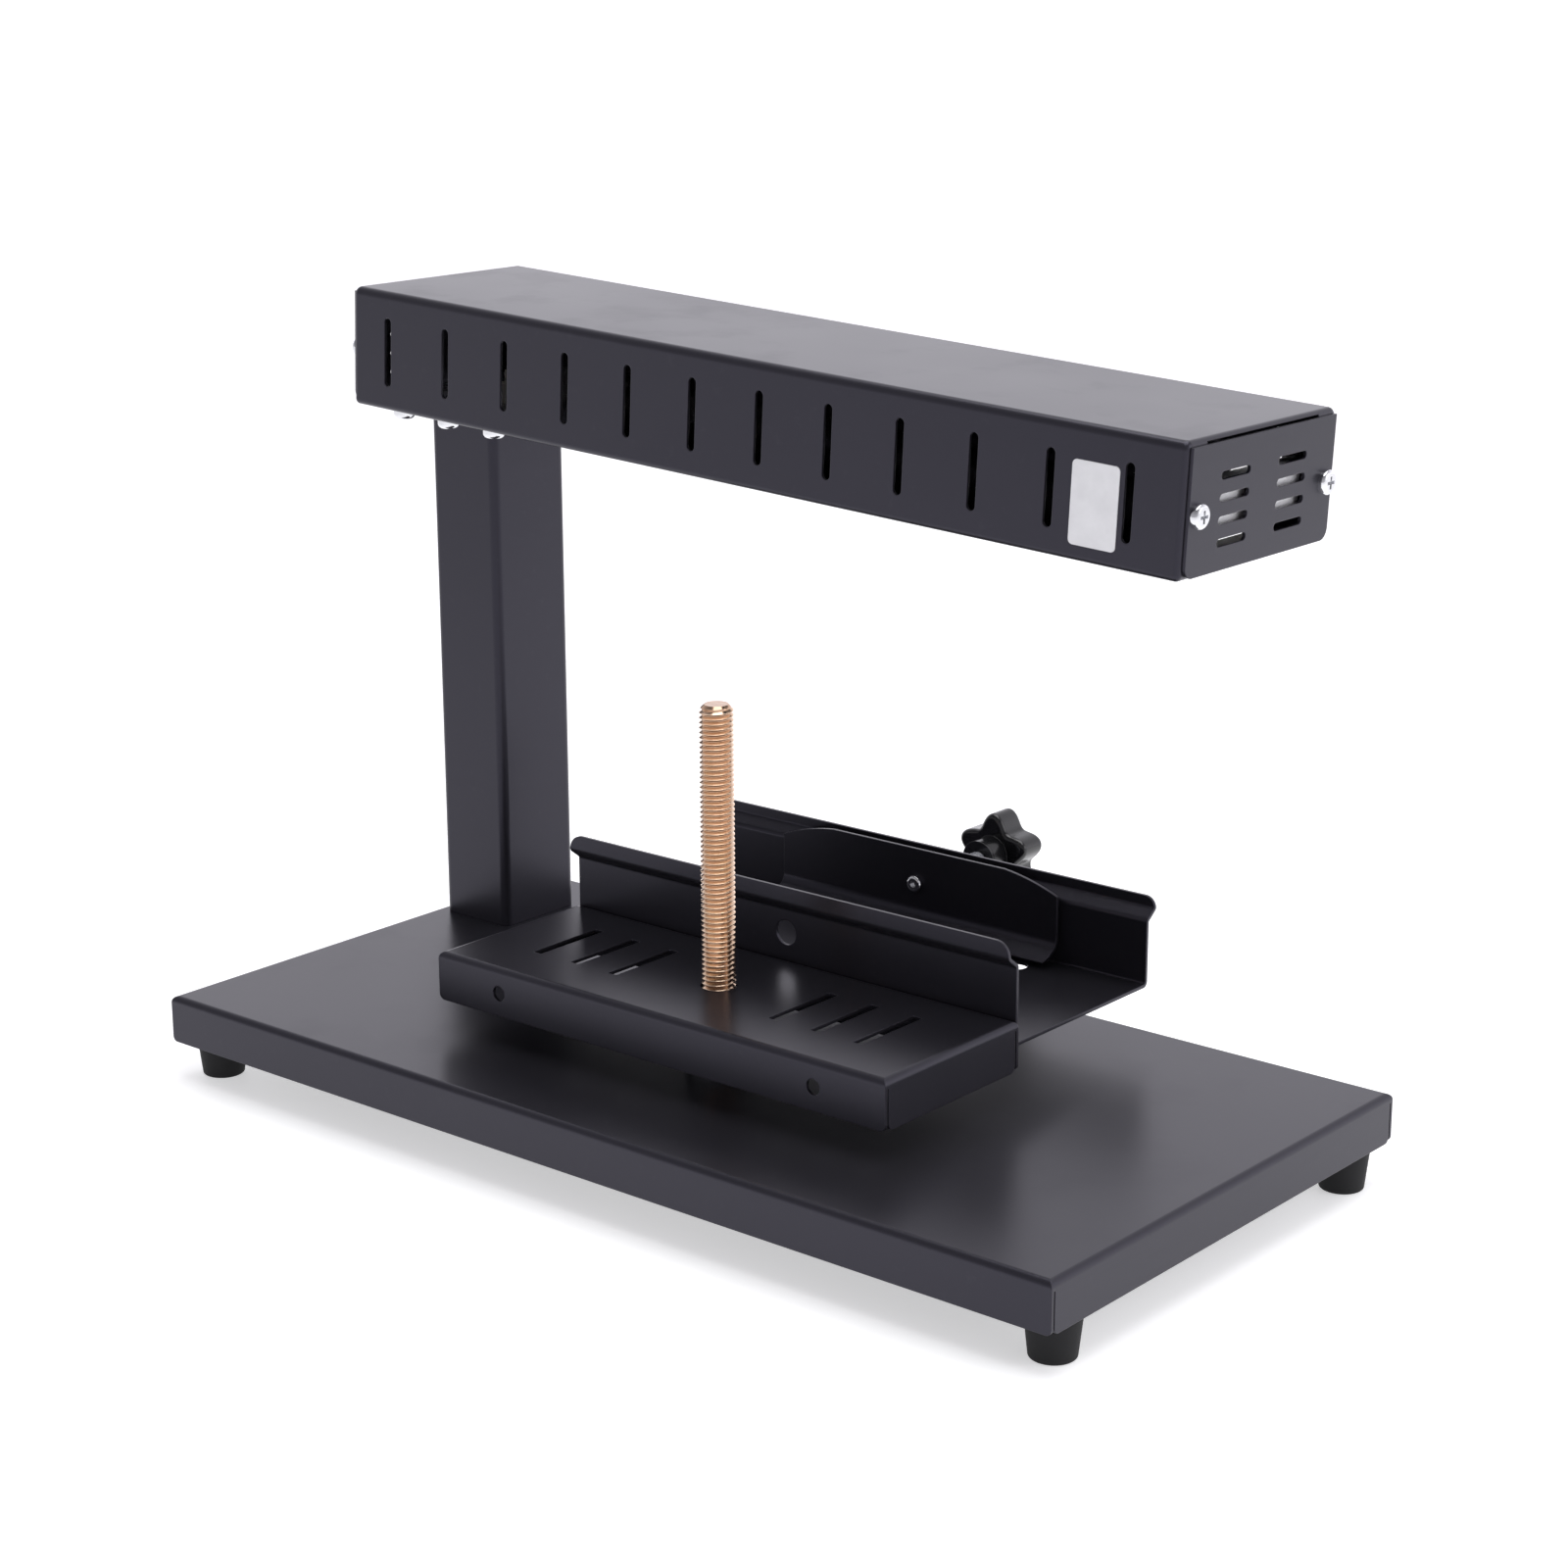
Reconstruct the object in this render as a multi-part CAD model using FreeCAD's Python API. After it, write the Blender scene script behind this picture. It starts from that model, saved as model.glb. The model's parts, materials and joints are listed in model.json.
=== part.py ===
import FreeCAD, Part
import math
import os

# Table-top raclette cheese melter: a sheet-steel base and column carry a long
# radiant heater, and a cheese holder turns and climbs on a threaded rod below it.
# Millimetres. X runs along the base, Y to the back, Z up. It is drawn about the middle
# of the base, and saved about the middle of the whole machine, on the plane of its feet.

V = FreeCAD.Vector
TOUCH = 0.05            # radial gap of a thread or a running fit
SAVE_AT = V(2.2135, -30.0, 0.0)          # from the middle of the base to the saved origin

# ---------------------------------------------------------------- dimensions
SHEET = 1.5             # folded steel sheet
SEAM = 0.8              # gap where two skirts meet at a corner
BASE_LENGTH = 500.0
BASE_DEPTH = 250.0
FOOT_HEIGHT = 18.0
SKIRT = 22.0            # height of the base, top to skirt edge
BASE_TOP = FOOT_HEIGHT + SKIRT
FOOT_INSET_X = 12.2
FOOT_INSET_Y = 19.0
FOOT_RAIL = 32.0        # reach of the rails that carry the feet

COLUMN_X = (-243.4, -200.9)
COLUMN_Y = (46.4, 95.0)
COLUMN_WALL = 2.0
GLAND_HEIGHT = 72.0     # cord gland, up the back of the column

HEATER_X = (-252.2, 214.0)
HEATER_Y = (4.3, 114.4)
HEATER_Z = (300.2, 355.6)
HEATER_LEAN = 3.0       # degrees that the heater leans down to its free end
FLANGE = 14.0           # in-turned flange along the bottom of the heater
VENT_COUNT = 12
VENT_FIRST = -227.7
VENT_PITCH = 37.73
VENT_SIZE = (4.4, 32.1)
VENT_MID_Z = 327.6
END_BEND = 2.5          # outside radius of the upright bends at the heater's ends
END_FLANGE = 14.0       # upright flanges that the end caps are screwed to
MOUTH_END = 186.0       # the opening over the cheese stops here
CAP_TOP = 353.2         # the end caps stop short of the shell's top
CAP_INSET = 2.3         # and of its front and back
CAP_MID_Z = 326.0

HOLDER_X = 4.5          # middle of the tray, the rod and the clamp
ROD_Y = -29.5
ROD_R = 7.5             # over the crests; the pitch is 2.2 mm
ROD_TOP = 202.0
TRAY_X = (HOLDER_X - 127.5, HOLDER_X + 127.5)
TRAY_Y = (-74.7, 16.0)
TRAY_Z = (53.5, 75.9)
CRADLE_X = (HOLDER_X - 126.0, HOLDER_X + 126.0)
CRADLE_Y = (16.0, 115.2)
CRADLE_FLOOR = 64.0
CLAMP_Z = 88.3          # height of the clamp screw
CLAMP_R = 3.95
PLATE_BACK = 111.6      # back face of the clamp plate, screw wound out
PLATE_TOP = 105.0
PLATE_WIDTH = 160.0
KNOB_Y = 160.0          # front end of the knob's hub
KNOB_R = 20.0


# ---------------------------------------------------------------- helpers
def box(x, y, z):
    corner = V(x[0], y[0], z[0])
    return Part.makeBox(x[1] - x[0], y[1] - y[0], z[1] - z[0], corner)


def rod(start, axis, length, radius):
    return Part.makeCylinder(radius, length, V(*start), V(*axis))


def fillet_at(shape, radius, test):
    """Round every edge whose ends and middle all pass the test."""
    edges = []
    for edge in shape.Edges:
        middle = edge.valueAt((edge.FirstParameter + edge.LastParameter) / 2)
        points = [v.Point for v in edge.Vertexes] + [middle]
        if all(test(p) for p in points):
            edges.append(edge)
    return shape.makeFillet(radius, edges)


def round_along_x(shape, radius, height):
    """Round the edges that run along X at one height."""
    edges = [e for e in shape.Edges if abs(e.tangentAt(e.FirstParameter).x) > 0.99
             and abs(e.Vertexes[0].Z - height) < 0.01]
    return shape.makeFillet(radius, edges)


def slot(centre, axis, along, length, width, depth):
    """A round-ended slot: long way 'along', cut through 'axis' both ways."""
    middle = V(*centre)
    through = V(*axis)
    run = V(*along) * ((length - width) / 2)
    side = through.cross(V(*along)) * (width / 2)
    start = through * (-depth)
    a = middle + run + side + start
    b = middle - run + side + start
    c = middle - run - side + start
    d = middle + run - side + start
    cap_b = middle - run - V(*along) * (width / 2) + start
    cap_d = middle + run + V(*along) * (width / 2) + start
    edges = [Part.makeLine(a, b), Part.Arc(b, cap_b, c).toShape(),
             Part.makeLine(c, d), Part.Arc(d, cap_d, a).toShape()]
    return Part.Face(Part.Wire(edges)).extrude(through * (2 * depth))


def corner_cutter(point, thick_axis, run_x, run_z, radius, thickness):
    """What a rounded lower corner of a sheet loses, as a solid."""
    p = V(*point)
    side = V(*run_x) * radius
    up = V(*run_z) * radius
    mid = p + (side + up) * (1 - math.sqrt(0.5))
    edges = [Part.makeLine(p, p + side), Part.Arc(p + side, mid, p + up).toShape(),
             Part.makeLine(p + up, p)]
    normal = V(*thick_axis) * thickness
    face = Part.Face(Part.Wire(edges))
    face.translate(normal * -1)
    return face.extrude(normal * 2)


def folded_pan(x, y, z, bend, round_r):
    """An upside-down sheet tray: rounded top bends, end skirts stopping short of the long ones."""
    outer = fillet_at(box(x, y, z), bend, lambda p: p.z > z[1] - 0.01)
    hollow_x = (x[0] + SHEET, x[1] - SHEET)
    hollow_y = (y[0] + SHEET, y[1] - SHEET)
    top = z[1] - SHEET
    hollow = fillet_at(box(hollow_x, hollow_y, (z[0] - 5, top)), bend - SHEET,
                       lambda p: p.z > top - 0.01)
    pan = outer.cut(hollow)
    cuts = []
    for end, out in ((x[0], 1), (x[1], -1)):
        for side, inward in ((y[0], 1), (y[1], -1)):
            skirt_start = side + inward * (SHEET + SEAM)
            near_x = sorted((end, end + out * (SHEET + 0.1)))
            near_y = sorted((side + inward * SHEET, skirt_start))
            cuts.append(box(near_x, near_y, (z[0], z[1] - bend - 1.0)))
            cuts.append(corner_cutter((end, side, z[0]), (0, 1, 0),
                                      (out, 0, 0), (0, 0, 1), round_r, SHEET + SEAM / 2))
            cuts.append(corner_cutter((end, skirt_start, z[0]), (1, 0, 0),
                                      (0, inward, 0), (0, 0, 1), round_r, SHEET + 1))
    for cut in cuts:
        pan = pan.cut(cut)
    return pan


def place(shape, point, direction):
    """Stand a part that was built along +Z on a point, along a direction."""
    turned = shape.copy()
    turned.Placement = FreeCAD.Placement(V(*point), FreeCAD.Rotation(V(0, 0, 1), V(*direction)))
    return turned


def pan_screw(head_r, head_h, shank_r, length):
    """A cross-recessed pan-head screw, head up, seat at z = 0."""
    head = Part.makeCylinder(head_r, head_h)
    head = fillet_at(head, head_h * 0.55, lambda p: p.z > head_h - 0.01)
    recess = Part.makeBox(head_r, 1.3, 2, V(-head_r / 2, -0.65, head_h - 1.9))
    turned = recess.copy()
    turned.rotate(V(0, 0, 0), V(0, 0, 1), 90)
    head = head.cut(recess).cut(turned)
    shank = Part.makeCylinder(shank_r, length, V(0, 0, -length))
    return head.fuse(shank).removeSplitter()


def hex_nut(flats, height, bore_r):
    radius = flats / math.sqrt(3)
    points = [V(radius * math.cos(math.radians(60 * k)),
                radius * math.sin(math.radians(60 * k)), 0) for k in range(7)]
    prism = Part.Face(Part.makePolygon(points)).extrude(V(0, 0, height))
    crown = Part.makeCone(flats / 2 + height * 1.73, flats / 2, height)
    body = prism.common(crown)
    return body.cut(Part.makeCylinder(bore_r, height + 2, V(0, 0, -1)))


def washer(outer_r, inner_r, height):
    ring = Part.makeCylinder(outer_r, height)
    return ring.cut(Part.makeCylinder(inner_r, height + 2, V(0, 0, -1)))


def lean(shape):
    """Lean a part of the heater down to its free end."""
    leaned = shape.copy()
    leaned.rotate(V(COLUMN_X[0], 0, HEATER_Z[0]), V(0, 1, 0), HEATER_LEAN)
    return leaned


def save(name, *shapes):
    shape = shapes[0] if len(shapes) == 1 else Part.makeCompound(list(shapes))
    shape = shape.translated(SAVE_AT)
    shape.exportStep("parts/%s.step" % name)


# ---------------------------------------------------------------- base
base_x = (-BASE_LENGTH / 2, BASE_LENGTH / 2)
base_y = (-BASE_DEPTH / 2, BASE_DEPTH / 2)
feet_at = {}
for side_name, foot_y in (("front", base_y[0] + FOOT_INSET_Y), ("rear", base_y[1] - FOOT_INSET_Y)):
    for end_name, foot_x in (("left", base_x[0] + FOOT_INSET_X),
                             ("right", base_x[1] - FOOT_INSET_X)):
        feet_at["%s_%s" % (side_name, end_name)] = (foot_x, foot_y)

column_mid = (sum(COLUMN_X) / 2, sum(COLUMN_Y) / 2)
bolt_points = [(column_mid[0] + dx, column_mid[1] + dy) for dx in (-11, 11) for dy in (-14, 14)]

base_pan = folded_pan(base_x, base_y, (FOOT_HEIGHT, BASE_TOP), 3.0, 2.5)
for bolt_x, bolt_y in bolt_points:
    base_pan = base_pan.cut(rod((bolt_x, bolt_y, 30), (0, 0, 1), 20, 3.3))
base_pan = base_pan.cut(rod((HOLDER_X, ROD_Y, 30), (0, 0, 1), 20, ROD_R + 0.4))
save("base_pan", base_pan)

# rails welded inside the end skirts: they carry the feet
for end_name, end, inward in (("left", base_x[0], 1), ("right", base_x[1], -1)):
    near = sorted((end + inward * SHEET, end + inward * FOOT_RAIL))
    rail = box(near, (base_y[0] + 6, base_y[1] - 6), (FOOT_HEIGHT, FOOT_HEIGHT + SHEET))
    for foot_x, foot_y in feet_at.values():
        rail = rail.cut(rod((foot_x, foot_y, 10), (0, 0, 1), 15, 2.8))
    for bolt_x, bolt_y in bolt_points:
        rail = rail.cut(rod((bolt_x, bolt_y, 15), (0, 0, 1), 8, 7.0))
    save("foot_rail_" + end_name, rail)

foot = Part.makeCone(9.6, 11.6, FOOT_HEIGHT)
foot = fillet_at(foot, 1.2, lambda p: p.z < 0.01)
foot = foot.cut(Part.makeCylinder(5.6, 8.0)).cut(Part.makeCylinder(2.8, FOOT_HEIGHT + 1))
foot_screw = pan_screw(5.0, 3.2, 2.4, 19.0)
foot_nut = hex_nut(8.0, 4.0, 2.4 + TOUCH)
screws = []
nuts = []
for corner_name, (foot_x, foot_y) in feet_at.items():
    save("foot_" + corner_name, place(foot, (foot_x, foot_y, 0), (0, 0, 1)))
    screws.append(place(foot_screw, (foot_x, foot_y, 8.0), (0, 0, -1)))
    nuts.append(place(foot_nut, (foot_x, foot_y, FOOT_HEIGHT + SHEET), (0, 0, 1)))
save("foot_screws", *screws)
save("foot_nuts", *nuts)

# ---------------------------------------------------------------- column
plate_low = HEATER_Z[0] + SHEET         # underside of the heater's mounting plate
plate_high = plate_low + 3.0


def tube(inset, low, high):
    """The column's rectangle, moved in by 'inset', with rounded corners."""
    solid = box((COLUMN_X[0] + inset, COLUMN_X[1] - inset),
                (COLUMN_Y[0] + inset, COLUMN_Y[1] - inset), (low, high))
    upright = [e for e in solid.Edges if abs(e.tangentAt(e.FirstParameter).z) > 0.99]
    return solid.makeFillet(4.0 - inset, upright)


column = tube(0, BASE_TOP, 330).cut(tube(COLUMN_WALL, BASE_TOP - 1, 331))
above_plate = lean(box((-300, -150), (-50, 200), (plate_low, 420)))
column = column.cut(above_plate)
column_foot = tube(COLUMN_WALL, BASE_TOP, BASE_TOP + 4)
for bolt_x, bolt_y in bolt_points:
    column_foot = column_foot.cut(rod((bolt_x, bolt_y, BASE_TOP - 1), (0, 0, 1), 8, 2.9 + TOUCH))
save("column_foot", column_foot)
gland_at = (column_mid[0], COLUMN_Y[1], GLAND_HEIGHT)
column = column.cut(rod((gland_at[0], gland_at[1] - 6, gland_at[2]), (0, 1, 0), 12, 8.0))
save("column", column)

bolt = pan_screw(5.2, 3.6, 2.9, 6.0)
under_top = BASE_TOP - SHEET
save("column_bolts", *[place(bolt, (bx, by, under_top), (0, 0, -1)) for bx, by in bolt_points])

gland = Part.makeCylinder(11.0, 3.0).fuse(Part.makeCylinder(8.5, 9.0))
gland = fillet_at(gland, 1.2, lambda p: p.z > 8.99)
neck = Part.makeCylinder(7.7, 4.0, V(0, 0, -4.0))
gland = gland.fuse(neck).cut(Part.makeCylinder(3.6, 20, V(0, 0, -5)))
save("cord_gland", place(gland.removeSplitter(), gland_at, (0, 1, 0)))

# ---------------------------------------------------------------- heater shell
cap = SHEET                             # end caps lie outside the shell's ends
shell_x = (HEATER_X[0] + cap, HEATER_X[1] - cap)
mid_y = sum(HEATER_Y) / 2
shell = box(shell_x, HEATER_Y, HEATER_Z)
shell = round_along_x(shell, 3.5, HEATER_Z[1])
shell = round_along_x(shell, 2.5, HEATER_Z[0])
upright = [e for e in shell.Edges if abs(e.tangentAt(e.FirstParameter).z) > 0.99]
shell = shell.makeFillet(END_BEND, upright)
inside_y = (HEATER_Y[0] + SHEET, HEATER_Y[1] - SHEET)
inside = box((shell_x[0] + SHEET, shell_x[1] - SHEET), inside_y,
             (plate_low, HEATER_Z[1] - SHEET))
inside = round_along_x(inside, 2.0, HEATER_Z[1] - SHEET)
shell = shell.cut(round_along_x(inside, 1.0, plate_low))
mouth_y = (HEATER_Y[0] + FLANGE, HEATER_Y[1] - FLANGE)
shell = shell.cut(box((shell_x[0] - 1, MOUTH_END), mouth_y, (290, plate_low + 1)))
end_gap_y = (HEATER_Y[0] + END_FLANGE, HEATER_Y[1] - END_FLANGE)
shell = shell.cut(box((shell_x[0] - 1, shell_x[1] + 1), end_gap_y,
                      (plate_low, HEATER_Z[1] - SHEET)))
cap_screw_y = (mid_y - 47.0, mid_y + 47.0)
for k in range(VENT_COUNT):
    vent_x = VENT_FIRST + k * VENT_PITCH
    shell = shell.cut(slot((vent_x, HEATER_Y[0], VENT_MID_Z), (0, 1, 0), (0, 0, 1),
                           VENT_SIZE[1], VENT_SIZE[0], 4))
    shell = shell.cut(slot((vent_x, HEATER_Y[1], VENT_MID_Z), (0, 1, 0), (0, 0, 1),
                           VENT_SIZE[1], VENT_SIZE[0], 4))
for screw_y in cap_screw_y:
    shell = shell.cut(rod((-260, screw_y, CAP_MID_Z), (1, 0, 0), 500, 2.0 + TOUCH))
mount_x = (-224.5, -195.0, -165.5)
mount_y = (HEATER_Y[0] + 7.7, HEATER_Y[1] - 7.7)
for hole_x in mount_x:
    for hole_y in mount_y:
        shell = shell.cut(rod((hole_x, hole_y, 295), (0, 0, 1), 10, 2.8))
save("heater_housing", lean(shell))

# ---------------------------------------------------------------- heater end caps
end_cap = box((0, SHEET), (HEATER_Y[0] + CAP_INSET, HEATER_Y[1] - CAP_INSET),
              (HEATER_Z[0] + 1.0, CAP_TOP))
along_x = [e for e in end_cap.Edges if abs(e.tangentAt(e.FirstParameter).x) > 0.99]
end_cap = end_cap.makeFillet(5.0, [e for e in along_x if e.Vertexes[0].Z < CAP_TOP - 1])
for vent_y in (mid_y - 20.9, mid_y + 20.9):
    for row in range(4):
        vent_z = CAP_MID_Z + (row - 1.5) * 9.0
        end_cap = end_cap.cut(slot((0, vent_y, vent_z), (1, 0, 0), (0, 1, 0), 21.0, 3.4, 4))
for screw_y in cap_screw_y:
    end_cap = end_cap.cut(rod((-2, screw_y, CAP_MID_Z), (1, 0, 0), 6, 2.3))
left_cap = end_cap.copy()
left_cap.translate(V(HEATER_X[0], 0, 0))
right_cap = end_cap.copy()
right_cap.translate(V(shell_x[1], 0, 0))
save("end_cap_left", lean(left_cap))
save("end_cap_right", lean(right_cap))

cap_screw = pan_screw(5.3, 3.4, 2.0, 10.0)
cap_screws = []
for screw_y in cap_screw_y:
    cap_screws.append(lean(place(cap_screw, (HEATER_X[0], screw_y, CAP_MID_Z), (-1, 0, 0))))
    cap_screws.append(lean(place(cap_screw, (HEATER_X[1], screw_y, CAP_MID_Z), (1, 0, 0))))
save("end_cap_screws", *cap_screws)

# ---------------------------------------------------------------- heater mounting
mount_plate = box((-246.0, -150.0), (inside_y[0] + 1.4, inside_y[1] - 1.4),
                  (plate_low, plate_high))
mount_plate = mount_plate.cut(rod((column_mid[0], column_mid[1], 290), (0, 0, 1), 30, 11))
for hole_x in mount_x:
    for hole_y in mount_y:
        mount_plate = mount_plate.cut(rod((hole_x, hole_y, 290), (0, 0, 1), 30, 2.4 + TOUCH))
save("heater_mount_plate", lean(mount_plate))
mount_screw = pan_screw(5.0, 4.0, 2.4, 8.0)
save("heater_mount_screws", *[lean(place(mount_screw, (sx, sy, HEATER_Z[0]), (0, 0, -1)))
                              for sx in mount_x for sy in mount_y])

# ---------------------------------------------------------------- heating elements
TUBE_Z = 322.0
ARCH_R = 20.0
skin = 0.8
TUBE_Y = (mid_y - ARCH_R - skin / 2, mid_y + ARCH_R + skin / 2)
REFLECTOR_X = (-140.0, 196.0)


def arch_block(radius, x, low):
    """The two round-topped channels over the tubes, as one solid."""
    blocks = []
    for tube_y in TUBE_Y:
        blocks.append(box(x, (tube_y - radius, tube_y + radius), (low, TUBE_Z)))
        round_top = rod((x[0], tube_y, TUBE_Z), (1, 0, 0), x[1] - x[0], radius)
        blocks.append(round_top.common(box(x, (tube_y - 30, tube_y + 30), (TUBE_Z, 360))))
    return blocks[0].multiFuse(blocks[1:])


reflector = arch_block(ARCH_R + skin, REFLECTOR_X, 310)
for leg_y in (TUBE_Y[0] - ARCH_R - skin, TUBE_Y[1] + ARCH_R):
    reflector = reflector.fuse(box(REFLECTOR_X, (leg_y, leg_y + skin), (plate_low, 312)))
reflector = reflector.cut(arch_block(ARCH_R, (REFLECTOR_X[0] - 1, REFLECTOR_X[1] + 1), 300))
save("reflector", lean(reflector.removeSplitter()))

bracket = box((0, 1.2), (TUBE_Y[0] - 19.5, TUBE_Y[1] + 19.5), (312.0, 331.5))
for leg_y in (TUBE_Y[0] - 19.5, TUBE_Y[1] + 12.5):
    bracket = bracket.fuse(box((0, 1.2), (leg_y, leg_y + 7), (plate_low, 320)))
for tube_y in TUBE_Y:
    bracket = bracket.cut(rod((-1, tube_y, TUBE_Z), (1, 0, 0), 4, 7.0 + TOUCH))
bracket = bracket.removeSplitter()
left_bracket = bracket.copy()
left_bracket.translate(V(REFLECTOR_X[0] - 1.2, 0, 0))
right_x = REFLECTOR_X[1] + 1.0
right_bracket = box((right_x, right_x + 1.2), inside_y, (311.0, 334.0))
guard_x = right_x + 12.0                # a bright guard over the wire, behind the end cap
guard_y = (mid_y - 34.0, mid_y + 34.0)
right_bracket = right_bracket.fuse(box((right_x, guard_x + 1.2), guard_y, (332.8, 334.0)))
right_bracket = right_bracket.fuse(box((guard_x, guard_x + 1.2), guard_y, (318.0, 334.0)))
right_bracket = right_bracket.removeSplitter()
for tube_y in TUBE_Y:
    right_bracket = right_bracket.cut(rod((right_x - 1, tube_y, TUBE_Z), (1, 0, 0), 4,
                                          7.0 + TOUCH))
save("element_bracket_left", lean(left_bracket))
save("element_bracket_right", lean(right_bracket))

tube_x = (REFLECTOR_X[0] + 4, REFLECTOR_X[1] - 4)
for tube_name, tube_y in zip(("front", "rear"), TUBE_Y):
    quartz = rod((tube_x[0], tube_y, TUBE_Z), (1, 0, 0), tube_x[1] - tube_x[0], 6.0)
    bore = rod((tube_x[0], tube_y, TUBE_Z), (1, 0, 0), tube_x[1] - tube_x[0], 4.8)
    save("quartz_tube_" + tube_name, lean(quartz.cut(bore)))
ceramics = []
for tube_y in TUBE_Y:
    for open_end, outward in ((tube_x[0], -1), (tube_x[1], 1)):
        plug = Part.makeCylinder(7.0, 10.0).fuse(Part.makeCylinder(8.6, 4.0, V(0, 0, -4)))
        plug = plug.cut(Part.makeCylinder(6.0 + TOUCH, 4.0, V(0, 0, -4)))
        plug = plug.cut(Part.makeCylinder(1.6, 12, V(0, 0, -1)))
        ceramics.append(lean(place(plug.removeSplitter(), (open_end, tube_y, TUBE_Z),
                                   (outward, 0, 0))))
save("ceramic_plugs", *ceramics)

block_x = (-196.0, -166.0)
block_y = (mid_y - 16.0, mid_y + 16.0)
block = box(block_x, block_y, (plate_high, plate_high + 9))
block = block.fuse(box((block_x[0] + 6, block_x[1] - 6), block_y,
                       (plate_high + 8, plate_high + 16)))
block = block.removeSplitter()
for terminal_y in (mid_y - 9.0, mid_y + 9.0):
    block = block.cut(rod((block_x[0] - 1, terminal_y, plate_high + 11.5), (1, 0, 0), 40, 2.2))
save("terminal_block", lean(block))

def lead(runs, radius):
    """A wire swept along straight runs with rounded corners: a list of corner points."""
    corners = [V(*p) for p in runs]
    edges = []
    here = corners[0]
    for k in range(1, len(corners) - 1):
        back = (corners[k - 1] - corners[k]).normalize() * WIRE_BEND
        on = (corners[k + 1] - corners[k]).normalize() * WIRE_BEND
        half_angle = back.getAngle(on) / 2
        middle = corners[k] + (back + on) * (0.5 / (1 + math.sin(half_angle)))
        edges.append(Part.makeLine(here, corners[k] + back))
        edges.append(Part.Arc(corners[k] + back, middle, corners[k] + on).toShape())
        here = corners[k] + on
    edges.append(Part.makeLine(here, corners[-1]))
    path = Part.Wire(edges)
    ring = Part.Wire(Part.makeCircle(radius, corners[0], corners[1] - corners[0]))
    return path.makePipeShell([ring], True, True)


WIRE_R = 1.3
WIRE_BEND = 3.0
lead_z = plate_high + 11.5
leads = []
for tube_y, terminal_y in zip(TUBE_Y, (mid_y - 9.0, mid_y + 9.0)):
    leads.append(lead([(block_x[1] - 12, terminal_y, lead_z), (-160, terminal_y, lead_z),
                       (-154, tube_y, TUBE_Z), (-138, tube_y, TUBE_Z)], WIRE_R))
leads.append(lead([(194, TUBE_Y[0], TUBE_Z), (206.5, TUBE_Y[0], TUBE_Z),
                   (206.5, TUBE_Y[1], TUBE_Z), (194, TUBE_Y[1], TUBE_Z)], WIRE_R))
save("element_leads", *[lean(wire) for wire in leads])

label = box((160.4, 182.9), (HEATER_Y[0] - 0.4, HEATER_Y[0]), (306.9, 341.2))
label_edges = [e for e in label.Edges if abs(e.tangentAt(e.FirstParameter).y) > 0.99]
save("front_label", lean(label.makeFillet(2.2, label_edges)))

# ---------------------------------------------------------------- threaded rod
nut_flats = 22.0
screw_rod = rod((HOLDER_X, ROD_Y, 22.0), (0, 0, 1), ROD_TOP - 22.0, ROD_R)
tip = [e for e in screw_rod.Edges if e.Closed and e.Vertexes[0].Z > ROD_TOP - 0.01]
screw_rod = screw_rod.makeChamfer(2.2, tip)
save("lift_rod", screw_rod)
seat = washer(15.0, ROD_R + 0.3, 2.5)
save("rod_washers", place(seat, (HOLDER_X, ROD_Y, BASE_TOP), (0, 0, 1)),
     place(seat, (HOLDER_X, ROD_Y, under_top - 2.5), (0, 0, 1)))
thin_nut = hex_nut(nut_flats, 8.0, ROD_R + TOUCH)
save("rod_nuts", place(thin_nut, (HOLDER_X, ROD_Y, BASE_TOP + 2.5), (0, 0, 1)),
     place(thin_nut, (HOLDER_X, ROD_Y, under_top - 10.5), (0, 0, 1)))

TRAY_SLOT = (4.8, 41.0)


def rounded_hole(x, y, size, corner_r):
    """What a slot with small corner radii takes out of the tray's top."""
    hole = box((x - size[0] / 2, x + size[0] / 2), (y - size[1] / 2, y + size[1] / 2),
               (TRAY_Z[1] - 3, TRAY_Z[1] + 1))
    upright = [e for e in hole.Edges if abs(e.tangentAt(e.FirstParameter).z) > 0.99]
    return hole.makeFillet(corner_r, upright)


tray_under = TRAY_Z[1] - SHEET
save("lift_washer", place(washer(15.0, ROD_R + 0.3, 2.5),
                          (HOLDER_X, ROD_Y, tray_under - 2.5), (0, 0, 1)))
save("lift_nut", place(hex_nut(nut_flats, 11.0, ROD_R + TOUCH),
                       (HOLDER_X, ROD_Y, tray_under - 13.5), (0, 0, 1)))

# ---------------------------------------------------------------- holder tray
tray = folded_pan(TRAY_X, TRAY_Y, TRAY_Z, 3.0, 3.0)
tray = tray.cut(rod((HOLDER_X, ROD_Y, 60), (0, 0, 1), 30, ROD_R + 0.5))
for step in (46.0, 69.0, 91.8):
    for side in (-1, 1):
        tray = tray.cut(rounded_hole(HOLDER_X + side * step, -27.5, TRAY_SLOT, 0.9))
for side in (-1, 1):
    tray = tray.cut(rod((HOLDER_X + side * 90.0, TRAY_Y[0] - 1, 64.0), (0, 1, 0), 4, 3.5))
save("holder_tray", tray)

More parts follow.
